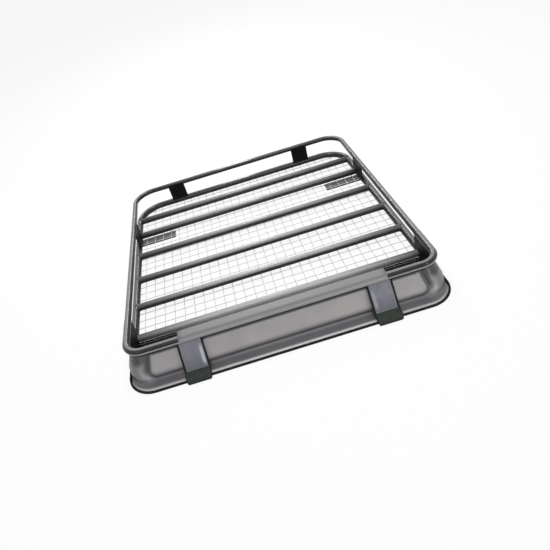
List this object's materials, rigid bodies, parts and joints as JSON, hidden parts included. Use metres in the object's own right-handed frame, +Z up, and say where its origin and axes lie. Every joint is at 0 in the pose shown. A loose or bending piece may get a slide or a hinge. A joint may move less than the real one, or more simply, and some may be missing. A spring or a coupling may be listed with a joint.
{
  "type": "roof rack",
  "caption": "Open steel roof rack with two bent tube rails, cross bars over a wire mesh floor, a moulded wind deflector held by wide straps, and mounting brackets under the floor.",
  "frame": {"origin": "centre of the bounding box's base, on the plane that the brackets stand on", "axes": "+X to the right across the rack, +Y to the rear, the deflector faces -Y, +Z up"},
  "size_m": [1.25, 1.35, 0.14],
  "materials": {
    "rail_tube": "gloss",
    "cross_tube": "gloss",
    "wire": "satin",
    "deflector": "satin",
    "trim": "matt",
    "strap": "satin",
    "plate": "satin"
  },
  "bodies": {
    "root": {"cross_bar_1": "cross_tube", "cross_bar_2": "cross_tube", "cross_bar_3": "cross_tube", "cross_bar_4": "cross_tube", "cross_bar_5": "cross_tube", "cross_bar_6": "cross_tube", "deflector_edge_trim": "trim", "deflector_top_seal": "trim", "floor_bracket_front_left": "plate", "floor_bracket_front_right": "plate", "floor_bracket_rear_left": "plate", "floor_bracket_rear_right": "plate", "floor_mesh_front": "wire", "floor_mesh_middle": "wire", "floor_mesh_rear": "wire", "front_strap_left": "strap", "front_strap_right": "strap", "lower_rail_front": "rail_tube", "lower_rail_left": "rail_tube", "lower_rail_rear": "rail_tube", "lower_rail_right": "rail_tube", "rear_plate_left": "plate", "rear_plate_right": "plate", "side_plate_front_left": "plate", "side_plate_front_right": "plate", "side_plate_rear_left": "plate", "side_plate_rear_right": "plate", "strap_pad_left": "trim", "strap_pad_right": "trim", "upper_rail_front": "rail_tube", "upper_rail_left": "rail_tube", "upper_rail_rear": "rail_tube", "upper_rail_right": "rail_tube", "wind_deflector": "deflector"}
  },
  "joints": []
}
